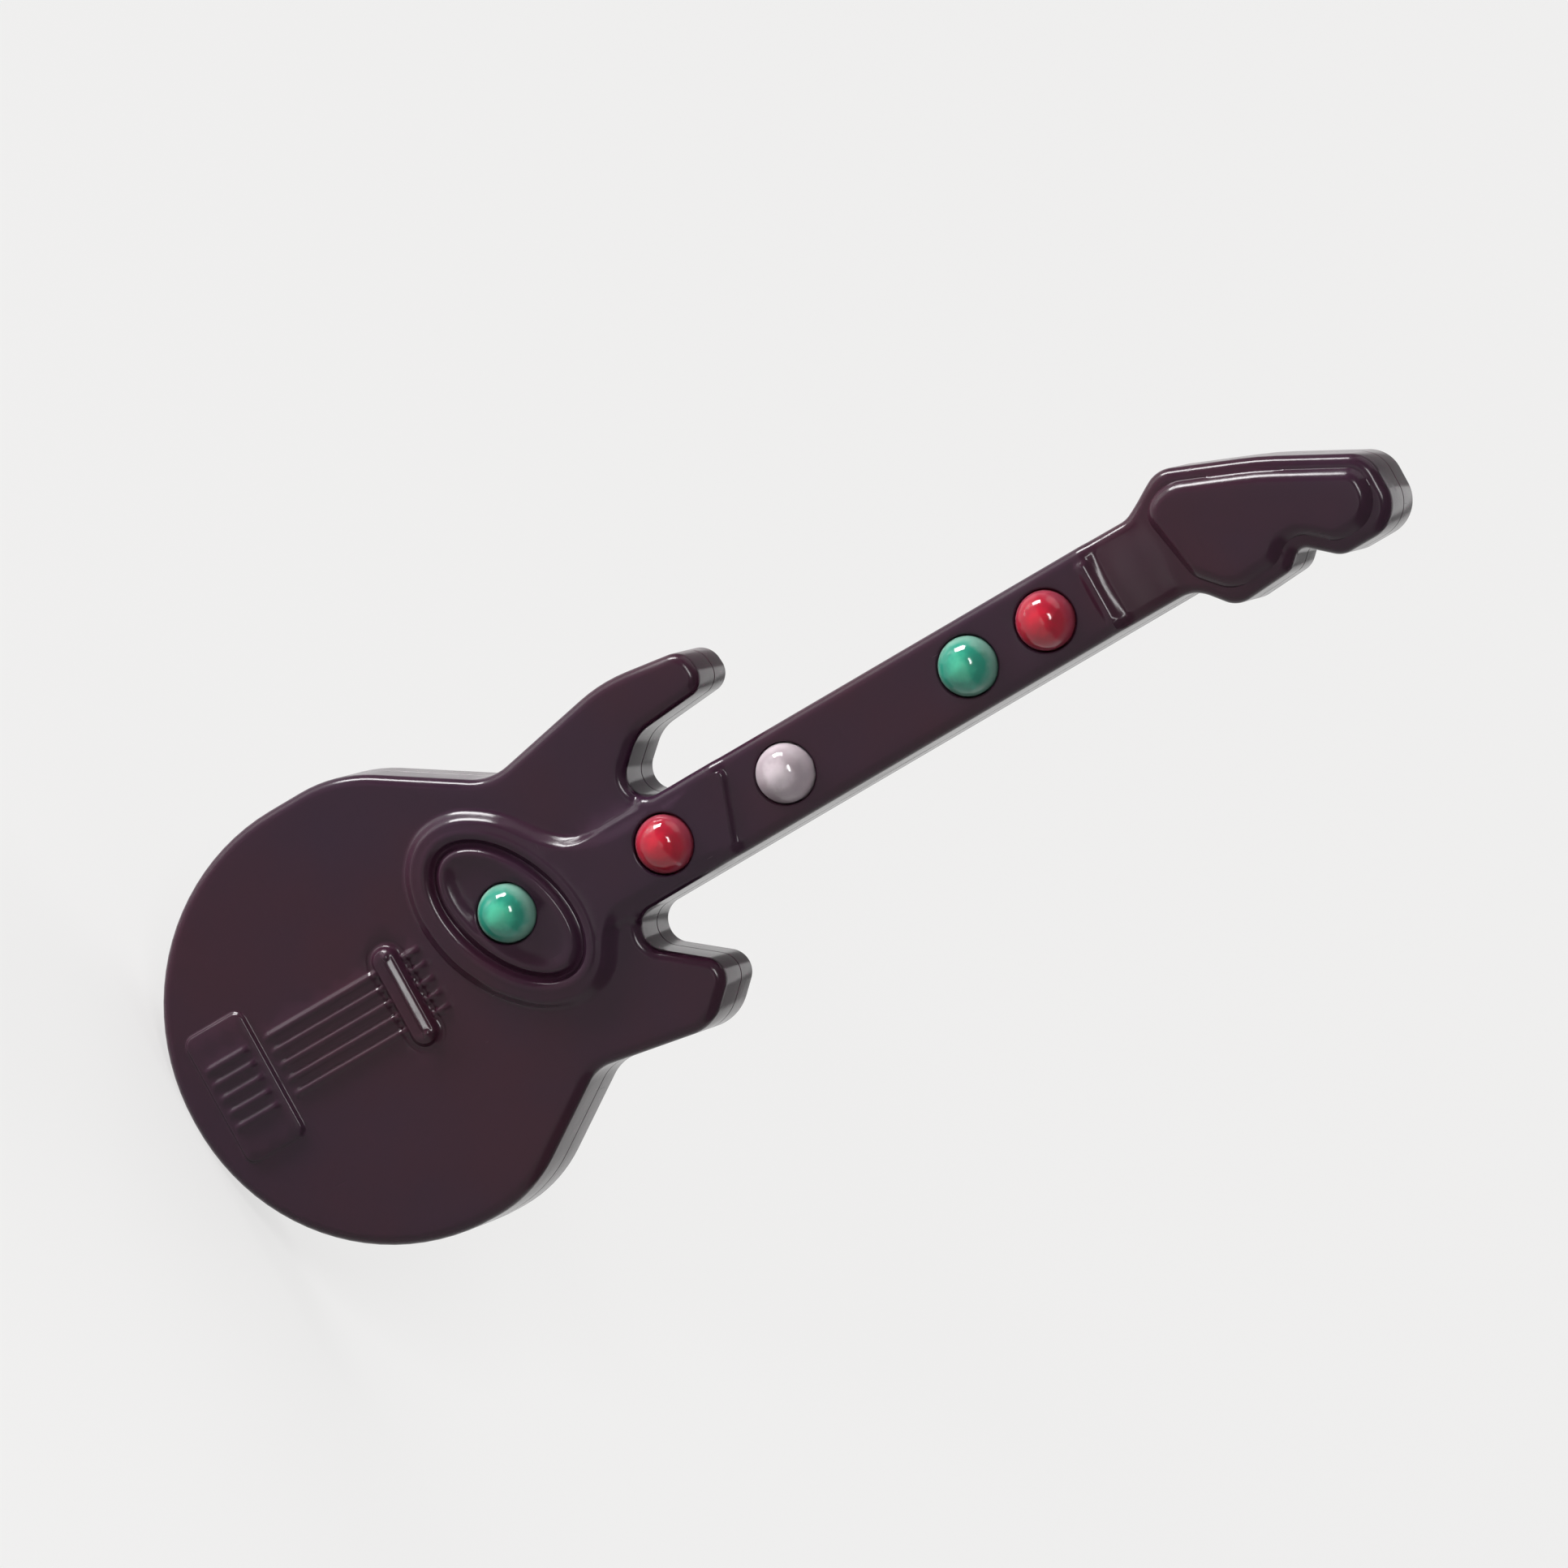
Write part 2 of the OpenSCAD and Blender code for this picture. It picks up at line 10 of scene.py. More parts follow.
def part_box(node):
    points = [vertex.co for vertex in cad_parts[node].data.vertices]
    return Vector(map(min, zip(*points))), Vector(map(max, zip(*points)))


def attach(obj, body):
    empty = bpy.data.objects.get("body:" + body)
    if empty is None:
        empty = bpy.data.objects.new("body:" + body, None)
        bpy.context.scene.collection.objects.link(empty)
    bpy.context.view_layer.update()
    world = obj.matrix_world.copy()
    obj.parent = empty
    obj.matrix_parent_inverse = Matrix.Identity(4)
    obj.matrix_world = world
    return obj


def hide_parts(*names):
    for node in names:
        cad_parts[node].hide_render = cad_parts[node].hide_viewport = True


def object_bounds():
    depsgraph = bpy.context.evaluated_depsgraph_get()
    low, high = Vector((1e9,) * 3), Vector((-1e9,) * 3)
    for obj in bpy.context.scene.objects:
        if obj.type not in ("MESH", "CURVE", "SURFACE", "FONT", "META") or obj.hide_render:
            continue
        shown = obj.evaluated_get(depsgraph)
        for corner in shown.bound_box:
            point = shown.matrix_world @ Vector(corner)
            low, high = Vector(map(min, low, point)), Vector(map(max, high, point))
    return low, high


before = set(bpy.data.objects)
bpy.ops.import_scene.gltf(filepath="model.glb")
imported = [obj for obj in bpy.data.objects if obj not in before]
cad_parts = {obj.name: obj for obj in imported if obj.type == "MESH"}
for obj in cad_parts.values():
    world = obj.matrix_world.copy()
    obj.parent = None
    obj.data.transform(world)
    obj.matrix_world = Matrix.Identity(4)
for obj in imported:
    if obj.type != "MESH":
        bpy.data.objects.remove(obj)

mm = 0.001
cadLow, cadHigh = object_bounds()
shellLow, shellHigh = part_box("front_shell")
strapEnd = shellLow.z  # "along" is counted from here, up the neck
boutRadius = (shellHigh.x - shellLow.x) / 2 / mm


# plan millimetres (across, along, depth from the back) to the row frame
def toRow(across, along, depth):
    return (across * mm, -depth * mm, min(strapEnd + along * mm, shellHigh.z))


def planOf(node):
    low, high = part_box(node)
    middle = (low + high) / 2
    return middle.x / mm, (middle.z - strapEnd) / mm, -high.y / mm, -low.y / mm


def unit(v):
    return v / np.linalg.norm(v)


def cornerArc(a, b, c, radius, inset, turnStep):
    toA, toC = unit(a - b), unit(c - b)
    half = math.acos(float(np.clip(toA @ toC, -1, 1))) / 2
    centre = b + unit(toA + toC) * radius / math.sin(half)
    start = b + toA * radius / math.tan(half) - centre
    sweep = math.pi - 2 * half
    turn = 1 if (b - a)[0] * (c - b)[1] - (b - a)[1] * (c - b)[0] > 0 else -1
    steps = max(2, math.ceil(math.degrees(sweep) / turnStep))
    first = math.atan2(start[1], start[0])
    angles = first + turn * sweep * np.arange(steps + 1) / steps
    return centre + (radius - turn * inset) * np.stack([np.cos(angles), np.sin(angles)], 1)


# a closed outline with rounded corners; insets of one outline match point for point
def outline(corners, inset=0.0, turnStep=4.0, spacing=0.6):
    spots = [np.array(c[:2], float) for c in corners]
    count = len(corners)
    arcs, plain = [], []
    for i in range(count):
        around = (spots[i - 1], spots[i], spots[(i + 1) % count], corners[i][2])
        arcs.append(cornerArc(*around, inset, turnStep))
        plain.append(cornerArc(*around, 0.0, turnStep))
    points = []
    for i in range(count):
        points.append(arcs[i])
        start, end = arcs[i][-1], arcs[(i + 1) % count][0]
        length = np.linalg.norm(plain[(i + 1) % count][0] - plain[i][-1])
        cuts = int(length / spacing)
        if cuts > 1:
            share = (np.arange(1, cuts) / cuts)[:, None]
            points.append(start + (end - start) * share)
    return np.concatenate(points)


# distance into a closed outline: positive inside, negative outside
def depthInside(points, loop):
    a, b = loop, np.roll(loop, -1, axis=0)
    out = np.empty(len(points))
    for first in range(0, len(points), 1500):
        p = points[first:first + 1500, None, :]
        ab = (b - a)[None]
        t = np.clip(((p - a) * ab).sum(2) / np.maximum((ab * ab).sum(2), 1e-12), 0, 1)
        gap = np.sqrt((((a + ab * t[..., None]) - p) ** 2).sum(2).min(1))
        above = (a[None, :, 1] > p[..., 1]) != (b[None, :, 1] > p[..., 1])
        rise = np.where(ab[..., 1] == 0, 1e-12, ab[..., 1])
        crossing = above & (p[..., 0] < a[None, :, 0] + ab[..., 0] * (p[..., 1] - a[None, :, 1]) / rise)
        out[first:first + 1500] = np.where(crossing.sum(1) % 2 == 1, gap, -gap)
    return out


neck = {
    "left": 4.2, "right": 3.7, "taper": 0.2, "foot": 40.0, "nut": 91.0, "rise": 0.5, "edge": 0.9,
    "runOut": (33, 2),  # where it rises out of the body, and over what length
    "bodyDepth": 9.0, "parting": 4.0,
    "lines": (0, 0.1, 0.2, 0.3, 0.4, 0.5),
}
# the slope from the nut down to the headstock
headRoot = {
    "start": 0.4, "soft": 0.9, "rise": 0.25, "fall": 0.75, "length": 6, "curve": 1.4, "crown": 0.02,
    "drop": 0.3, "dropStart": 5.5, "dropLength": 2.5,
    "lines": (91.9, 92.1, 92.3, 92.5, 93.4, 94.4, 95.4, 96.6),
}


# the neck's right side runs in a little towards the nut
def neckRight(along):
    return neck["right"] - neck["taper"] * (along - neck["foot"]) / (neck["nut"] + 7 - neck["foot"])


guitar = {
    "lowerRight": [
        (-boutRadius, 0, boutRadius - 0.2), (boutRadius, 0, boutRadius - 0.2), (boutRadius, 23.2, 11.9),
        (12.9, 33.3, 3.5), (14.8, 44.1, 4), (10.9, 48.25, 1.9), (neck["right"], 38.9, 1.9),
    ],
    "head": [
        (neckRight(98), 97.8, 3), (6.5, 100.3, 2.2), (6.15, 105.7, 1.8), (4.75, 107.2, 0.9),
        (7.2, 110, 2), (7.2, 116, 3), (1.1, 116.1, 2.8), (-3.3, 107.8, 30), (-6.5, 99.9, 2.6),
        (-neck["left"], 95.6, 2),
    ],
    "lowerLeft": [
        (-neck["left"], 44.7, 1.9), (-9.3, 50.5, 3.5), (-9.9, 57.9, 1.7), (-13.5, 57.6, 1.9),
        (-14.6, 49.9, 14), (-12.2, 37.4, 5), (-boutRadius, 25.8, 12.2),
    ],
    "edgeRound": 1.0, "edgeSteps": 9, "seam": 0.1,
}
silhouette = guitar["lowerRight"] + guitar["head"] + guitar["lowerLeft"]

# rim, groove, lip and dish each have a height, a start and a width, counted inwards
oval = {
    "centre": (-2.0, 33.7), "long": 7.9, "short": 4.7, "lean": math.radians(23.5),
    "rim": (0.14, -0.4, 0.5), "groove": (0.5, 0, 0.5), "lip": (0.66, 0.45, 0.85),
    "dish": (0.45, 1.4, 1.4),
    "lines": (-0.87, -0.65, -0.42, -0.2, 0, 0.1, 0.2, 0.3, 0.4, 0.5, 0.62, 0.75, 0.88, 1.01, 1.14, 1.27,
              1.42, 1.6, 1.85, 2.25),
}
field = {
    "margin": 2.5, "side": 3.2, "farSide": -3.75, "end": 55.2, "slant": 1.3, "rise": 0.4,
    "edge": 1.3, "endEdge": 0.55, "turns": (110, 385), "sides": 10,
    "lines": (-0.12, 0, 0.15, 0.3, 0.46, 0.62, 0.78, 0.94, 1.12, 1.3),
}


def leaning(p):
    c, s = math.cos(oval["lean"]), math.sin(oval["lean"])
    return (oval["centre"][0] + p[0] * c - p[1] * s, oval["centre"][1] + p[0] * s + p[1] * c)


def onField(turn, reach=1.0):
    t = math.radians(turn)
    return np.array(leaning(((oval["long"] + field["margin"]) * math.cos(t) * reach,
                             (oval["short"] + field["margin"]) * math.sin(t) * reach)))


# where the line on from a through b meets the side x
def runOn(a, b, x):
    return b + (b - a) * (x - b[0]) / (b[0] - a[0])


# an oval round the oval, which runs out into the neck with two fillets
def fieldOutline():
    first, last = field["turns"]
    half = (last - first) / field["sides"] / 2
    reach = 1 / math.cos(math.radians(half))
    ring = [onField(first + (2 * i + 1) * half, reach) for i in range(field["sides"])]
    join = runOn(ring[-1], onField(last), field["side"])
    farJoin = runOn(ring[0], onField(first), field["farSide"])
    loop = [farJoin] + ring + [join]
    corners = []
    for a, b, c in zip(loop, loop[1:], loop[2:]):
        run = 0.48 * min(np.linalg.norm(ring[1] - ring[0]), np.linalg.norm(b - a), np.linalg.norm(c - b))
        angle = math.acos(float(unit(a - b) @ unit(c - b)))
        corners.append((*b, run * math.tan(angle / 2)))
    return corners + [
        (*join, 1.6), (field["side"], field["end"] - field["slant"], 0.96),
        (field["farSide"], field["end"] + field["slant"], 0.96), (*farJoin, 8)]


fieldCorners = fieldOutline()
panelCorners = [
    (3.1, 97.4, 3.5), (6.5, 100.5, 4), (6.15, 105.7, 3.2), (4.75, 107.2, 0.9), (7.2, 110, 3.2),
    (7.2, 116, 4), (1.1, 116.1, 3), (-3.3, 107.8, 30), (-6.5, 99.9, 4.5), (-4.4, 96, 2.8),
]
panel = {"margin": 1.1, "rise": 0.8, "edge": 1.1,
         "lines": (-0.12, 0, 0.1, 0.22, 0.34, 0.46, 0.6, 0.76, 0.93, 1.1)}

strings = {
    "count": 5, "pitch": 1.33, "middle": -0.4, "rise": 0.36, "half": 0.52, "main": (9.6, 20.8),
    "stub": (23.4, 24.9), "bars": (3.7, 7.7), "barRise": 0.3,
    "lines": (-1.05, -0.75, -0.5, -0.25, 0, 0.25, 0.5, 0.75, 1.05),
}
bridge = {
    "along": 22.1, "across": -0.2, "length": 9.4, "width": 2.7, "rise": 0.7, "edge": 0.5, "moat": 0.1,
    "lines": (-0.55, -0.4, -0.28, -0.14, 0, 0.1, 0.2, 0.3, 0.4, 0.5),
}
# the saddle is steep towards the strap end and slopes gently towards the neck
saddle = {
    "rise": 0.3, "start": -0.1, "steep": 0.25, "end": 0.75, "gentle": 0.6,
    "dot": 0.55, "dotRise": 1.1, "dotOut": 0.25, "dotUp": 0.3,
    "lines": (-0.12, -0.03, 0.06, 0.14, 0.22, 0.36, 0.5, 0.64, 0.76),
}
nut = {"along": 90.9, "across": 0.0, "length": 6.6, "width": 1.6, "rise": 0.36, "edge": 0.75,
       "lines": (-0.1, 0, 0.15, 0.3, 0.45, 0.6, 0.75)}
tailplate = {
    "across": -0.4, "start": 2.7, "length": 6.2, "width": 12.2, "round": 1.1, "rise": 0.35, "edge": 0.4,
    "lines": (-0.1, 0, 0.1, 0.2, 0.3, 0.4),
}
tailCorners = [
    (tailplate["across"] + i * tailplate["width"] / 2, tailplate["start"] + j * tailplate["length"],
     tailplate["round"]) for i, j in ((-1, 0), (1, 0), (1, 1), (-1, 1))]

lightNames = ["body", "neck_1", "neck_2", "neck_3", "neck_4"]
lights = [planOf(f"{name}_light_lens") for name in lightNames]
lightHole = {"radius": 2.58, "round": 0.22, "steps": 4, "sides": 64}


def smooth(t):
    t = np.clip(t, 0, 1)
    return t * t * (3 - 2 * t)


def bump(t):
    return np.where(np.abs(t) < 1, (1 - np.clip(t * t, 0, 1)) ** 2, 0)


def span(v, low, high, soft):
    return smooth((v - low) / soft + 0.5) * (1 - smooth((v - high) / soft + 0.5))


def lerp(a, b, mask):
    return a + (b - a) * mask


fieldLoop = outline(fieldCorners, turnStep=4)
panelLoop = outline(panelCorners, panel["margin"], 4)
tailLoop = outline(tailCorners, 0, 9)
silhouetteLoop = outline(silhouette)


def ovalDepth(x, y):
    c, s = math.cos(oval["lean"]), math.sin(oval["lean"])
    dx, dy = x - oval["centre"][0], y - oval["centre"][1]
    u, v = dx * c + dy * s, dy * c - dx * s
    k = np.sqrt((u / oval["long"]) ** 2 + (v / oval["short"]) ** 2)
    slope = np.sqrt((u / oval["long"] ** 2) ** 2 + (v / oval["short"] ** 2) ** 2)
    return np.where(k > 1e-6, (1 - k) * k / np.maximum(slope, 1e-9), oval["short"])


def stringSpots():
    centre = (strings["count"] - 1) / 2
    return [strings["middle"] + (i - centre) * strings["pitch"] for i in range(strings["count"])]


def barDepth(bar, x, y):
    reach = (bar["length"] - bar["width"]) / 2
    across, along = x - bar["across"], y - bar["along"]
    return bar["width"] / 2 - np.hypot(across - np.clip(across, -reach, reach), along)


def neckRelief(x, y, top):
    side = np.minimum(x + neck["left"], neckRight(y) - x)
    start, soft = neck["runOut"]
    top = lerp(top, neck["bodyDepth"] + neck["rise"],
               smooth(side / neck["edge"] + 0.4) * smooth((y - start) / soft))
    up, root = y - neck["nut"], headRoot
    ramp = np.clip((up - 1) / root["length"], 0, 1) ** root["curve"]
    slope = neck["bodyDepth"] + root["rise"] - root["fall"] * ramp - root["crown"] * x * x
    top = lerp(top, slope, smooth((up - root["start"]) / root["soft"]))
    low = smooth((up - root["dropStart"]) / root["dropLength"])
    return lerp(top, neck["bodyDepth"] - root["drop"], low)


def ovalRelief(x, y):
    o = ovalDepth(x, y)

    def step(name):
        height, start, width = oval[name]
        return height * smooth((o - start) / width)

    height, start, width = oval["rim"]
    return height * bump((o - start) / width) - step("groove") + step("lip") - step("dish")


def stringRelief(x, y):
    rows, bars = np.zeros(len(x)), np.zeros(len(x))
    for spot in stringSpots():
        rib = bump((x - spot) / strings["half"])
        rows += rib * (span(y, *strings["main"], 0.6) + span(y, *strings["stub"], 0.5))
        bars += rib * span(y, *strings["bars"], 0.5)
    return strings["rise"] * rows + strings["barRise"] * bars


def bridgeRelief(x, y, top):
    reach = (bridge["length"] - bridge["width"]) / 2
    across, along = x - bridge["across"], y - bridge["along"]
    d = barDepth(bridge, x, y)
    top = lerp(top, np.maximum(top, neck["bodyDepth"] + 0.01), smooth(d / 0.1))
    top = lerp(top, neck["bodyDepth"] + bridge["rise"], smooth(d / bridge["edge"]))
    top = top - bridge["moat"] * bump((d + 0.3) / 0.3)
    steep = np.clip((along - saddle["start"]) / saddle["steep"], 0, 1)
    gentle = np.clip((saddle["end"] - along) / saddle["gentle"], 0, 1)
    wedge = steep * gentle * span(across, -reach - 0.1, reach + 0.1, 0.5)
    away = np.hypot(np.abs(across) - reach - saddle["dotOut"], along - saddle["dotUp"])
    dots = saddle["dotRise"] * bump(away / saddle["dot"])
    return top + saddle["rise"] * np.maximum(wedge, dots)


# depth of the moulded face over the plan
def faceDepth(points):
    x, y = points[:, 0], points[:, 1]
    inside = np.maximum(depthInside(points, silhouetteLoop), 0)
    crown = 1 - np.clip(np.hypot(x, y - boutRadius) / boutRadius, 0, 1) ** 2
    top = neck["bodyDepth"] - 0.1 + 0.1 * smooth(crown * 1.5)
    top = neckRelief(x, y, top)
    fieldEdge = lerp(field["edge"], field["endEdge"], smooth((y - field["end"] + 5) / 3))
    fieldMask = smooth(depthInside(points, fieldLoop) / fieldEdge)
    top = lerp(top, neck["bodyDepth"] + neck["rise"] + field["rise"], fieldMask)
    top = top + ovalRelief(x, y) + stringRelief(x, y)
    top = top + tailplate["rise"] * smooth(depthInside(points, tailLoop) / tailplate["edge"])
    top = bridgeRelief(x, y, top)
    top = top + nut["rise"] * smooth(barDepth(nut, x, y) / nut["edge"])
    shoulder = np.clip(depthInside(points, panelLoop) / panel["edge"], 0, 1)
    top = top + panel["rise"] * (1 - (1 - shoulder) ** 2)
    r = guitar["edgeRound"]
    return top - r + np.sqrt(np.maximum(r * r - (r - np.minimum(inside, r)) ** 2, 0))


class Skin:
    def __init__(self):
        self.points, self.faces = [], []

    def add(self, points):
        first = len(self.points)
        self.points.extend(map(tuple, points))
        return list(range(first, first + len(points)))

    def band(self, a, b):
        count = len(a)
        for i in range(count):
            j = (i + 1) % count
            self.faces.append((a[i], a[j], b[j], b[i]))

    def build(self, name, material, sharp=38):
        mesh = bpy.data.meshes.new(name)
        mesh.from_pydata([toRow(*p) for p in self.points], [], self.faces)
        mesh.validate()
        bm = bmesh.new()
        bm.from_mesh(mesh)
        bmesh.ops.remove_doubles(bm, verts=bm.verts, dist=1e-7)
        bmesh.ops.recalc_face_normals(bm, faces=bm.faces)
        bm.to_mesh(mesh)
        bm.free()
        mesh.shade_smooth()
        mesh.set_sharp_from_angle(angle=math.radians(sharp))
        piece = bpy.data.objects.new(name, mesh)
        bpy.context.scene.collection.objects.link(piece)
        mesh.materials.append(material)
        return piece


# fills a plan region between closed loops, with triangles that share the skin's own vertices
def fillPlan(skin, outer, holes, lines, depthOf, spacing=1.0, holeTests=()):
    plan, edges, known = [], [], []

    def put(points, closed):
        first = len(plan)
        plan.extend(Vector(p) for p in points)
        count = len(points)
        spans = count if closed else count - 1
        edges.extend((first + i, first + (i + 1) % count) for i in range(spans))
        return list(range(first, first + count))

    for indices in [outer] + holes:
        put([skin.points[i][:2] for i in indices], True)
        known.extend(indices)
    outerCount = len(outer)
    outerLoop = np.array([skin.points[i][:2] for i in outer])
    for line in lines:
        line = np.asarray(line)
        keep = depthInside(line, outerLoop) > 0.1
        for centre, radius in holeTests:
            keep &= np.hypot(line[:, 0] - centre[0], line[:, 1] - centre[1]) > radius + 0.12
        run = []
        for point, good in zip(line, keep):
            if good:
                run.append(point)
            elif run:
                put(run, False)
                run = []
        if run:
            put(run, False)
    if spacing:
        low, high = outerLoop.min(0), outerLoop.max(0)
        grid = np.array([
            (low[0] + (i + 0.5 * (j % 2)) * spacing, low[1] + j * spacing * 0.87)
            for j in range(int((high[1] - low[1]) / spacing / 0.87) + 1)
            for i in range(int((high[0] - low[0]) / spacing) + 1)])
        grid = grid[depthInside(grid, outerLoop) > spacing * 0.4]
        for centre, radius in holeTests:
            grid = grid[np.hypot(grid[:, 0] - centre[0], grid[:, 1] - centre[1]) > radius + spacing * 0.4]
        near = np.array([tuple(p) for p in plan])
        clear = []
        for first in range(0, len(grid), 500):
            part = grid[first:first + 500]
            gap = np.sqrt(((part[:, None] - near[None]) ** 2).sum(2)).min(1)
            clear.append(part[gap > spacing * 0.45])
        for p in np.concatenate(clear):
            plan.append(Vector(p))
    made = delaunay_2d_cdt(plan, edges, [list(range(outerCount))], 1, 1e-5)
    spots, triangles, origins = made[0], made[2], made[3]
    flat = np.array([tuple(p) for p in spots])
    depth = depthOf(flat)
    index = []
    for i, source in enumerate(origins):
        first = min((s for s in source if s < len(known)), default=None)
        if first is None:
            index.append(skin.add([(flat[i][0], flat[i][1], depth[i])])[0])
        else:
            index.append(known[first])
    for triangle in triangles:
        centre = flat[list(triangle)].mean(0)
        if all(math.hypot(centre[0] - c[0], centre[1] - c[1]) > r * 0.998 for c, r in holeTests):
            skin.faces.append(tuple(index[v] for v in triangle))


def circle(centre, radius, sides):
    angles = 2 * math.pi * np.arange(sides) / sides
    return np.stack([centre[0] + radius * np.cos(angles), centre[1] + radius * np.sin(angles)], 1)


def withDepth(points, depth):
    return [(p[0], p[1], d) for p, d in zip(points, np.broadcast_to(depth, len(points)))]


# lines that the face's triangles follow, so that each edge of the relief stays crisp
def featureLines():
    lines = []

    def loop(points):
        lines.append(np.concatenate([points, points[:1]]))

    def upright(across, ups):
        lines.append(np.stack([np.broadcast_to(across, len(ups)), ups], 1))

    def level(acrosses, up):
        lines.append(np.stack([acrosses, np.full(len(acrosses), up)], 1))

    for inset in field["lines"]:
        loop(outline(fieldCorners, inset, 5, 0.5))
    for inset in oval["lines"]:
        turns = 2 * math.pi * np.arange(150) / 150
        a, b = oval["long"] - inset, oval["short"] - inset
        loop(np.array([leaning((a * math.cos(t), b * math.sin(t))) for t in turns]))
    for inset in panel["lines"]:
        loop(outline(panelCorners, panel["margin"] + inset, 5, 0.5))
    for inset in tailplate["lines"]:
        loop(outline(tailCorners, inset, 12, 0.4))
    ups = np.arange(neck["runOut"][0], 54, 0.4)
    for inset in neck["lines"]:
        upright(inset - neck["left"], ups)
        upright(neckRight(ups) - inset, ups)
    acrosses = np.arange(-3.6, 3.61, 0.3)
    for up in headRoot["lines"]:
        level(acrosses, up)
    for spot in stringSpots():
        for share in strings["lines"]:
            for (start, end), before, after in (
                    (strings["main"], 0.4, 0.1), (strings["stub"], 0, 0.4), (strings["bars"], 0.4, 0.4)):
                low, high = start - before, end + after
                ups = np.linspace(low, high, max(4, int((high - low) / 0.35)))
                upright(spot + share * strings["half"], ups)
    for bar in (bridge, nut):
        half, wide = bar["length"] / 2, bar["width"] / 2
        for inset in bar["lines"]:
            corners = [(bar["across"] + i * (half - inset), bar["along"] + j * (wide - inset),
                        wide - inset - 0.02) for i, j in ((-1, -1), (1, -1), (1, 1), (-1, 1))]
            loop(outline(corners, 0, 10, 0.35))
    half = bridge["length"] / 2
    acrosses = np.arange(-half + 0.9, half - 0.85, 0.2) + bridge["across"]
    for up in saddle["lines"]:
        level(acrosses, bridge["along"] + up)
    return lines


def frontMoulding(material):
    skin = Skin()
    r, steps, seam, parting = guitar["edgeRound"], guitar["edgeSteps"], guitar["seam"], neck["parting"]
    wall = outline(silhouette)
    seamLoop = outline(silhouette, seam)
    rim = skin.add(withDepth(seamLoop, parting))
    loops = [rim, skin.add(withDepth(wall, parting + seam))]
    for k in range(steps + 1):
        turn = math.pi / 2 * k / steps
        inset = r * (1 - math.cos(turn))
        ring = outline(silhouette, inset)
        low = faceDepth(outline(silhouette, r + 1e-4))
        loops.append(skin.add(withDepth(ring, low - r + r * math.sin(turn))))
    for a, b in zip(loops, loops[1:]):
        skin.band(a, b)
    tests, holes, feet = [], [], []
    for across, along, _, _ in lights:
        radius = lightHole["radius"] + lightHole["round"]
        top = circle((across, along), radius, lightHole["sides"])
        edge = faceDepth(top)
        rows = [skin.add(withDepth(top, edge))]
        for k in range(1, lightHole["steps"] + 1):
            turn = math.pi / 2 * k / lightHole["steps"]
            inset, sunk = lightHole["round"] * math.sin(turn), lightHole["round"] * (1 - math.cos(turn))
            ring = circle((across, along), radius - inset, lightHole["sides"])
            rows.append(skin.add(withDepth(ring, edge - sunk)))
        foot = circle((across, along), lightHole["radius"], lightHole["sides"])
        rows.append(skin.add(withDepth(foot, parting)))
        for a, b in zip(rows, rows[1:]):
            skin.band(a, b)
        holes.append(rows[0])
        feet.append(rows[-1])
        tests.append(((across, along), radius))
    fillPlan(skin, loops[-1], holes, featureLines(), faceDepth, 1.1, tests)
    small = [(centre, lightHole["radius"]) for centre, _ in tests]
    fillPlan(skin, rim, feet, [], lambda p: np.full(len(p), parting), 0, small)
    return skin.build("frontMoulding", material)


screws = {"spots": [(-12.0, 11.5), (12.0, 11.5), (-10.2, 43.5), (9.8, 39.4), (0.6, 103.5)],
          "recess": 2.1, "seat": 1.6, "boss": 2.9, "round": 0.18}
post = {"across": 0.0, "along": 20.0, "radius": 4.0, "length": 5.0, "bore": 2.4, "fillet": 0.7,
        "round": 0.5, "boreRound": 0.25}
back = {"wall": 1.2, "floor": 1.2}


# rings of a turned shape, given as (radius, depth) from one end to the other
def turned(skin, centre, profile, sides=48):
    rings = [skin.add(withDepth(circle(centre, radius, sides), depth)) for radius, depth in profile]
    for a, b in zip(rings, rings[1:]):
        skin.band(a, b)
    return rings


def quarter(centreRadius, centreDepth, size, start, end, steps=5):
    turns = [math.radians(start + (end - start) * k / steps) for k in range(steps + 1)]
    return [(centreRadius + size * math.cos(t), centreDepth + size * math.sin(t)) for t in turns]


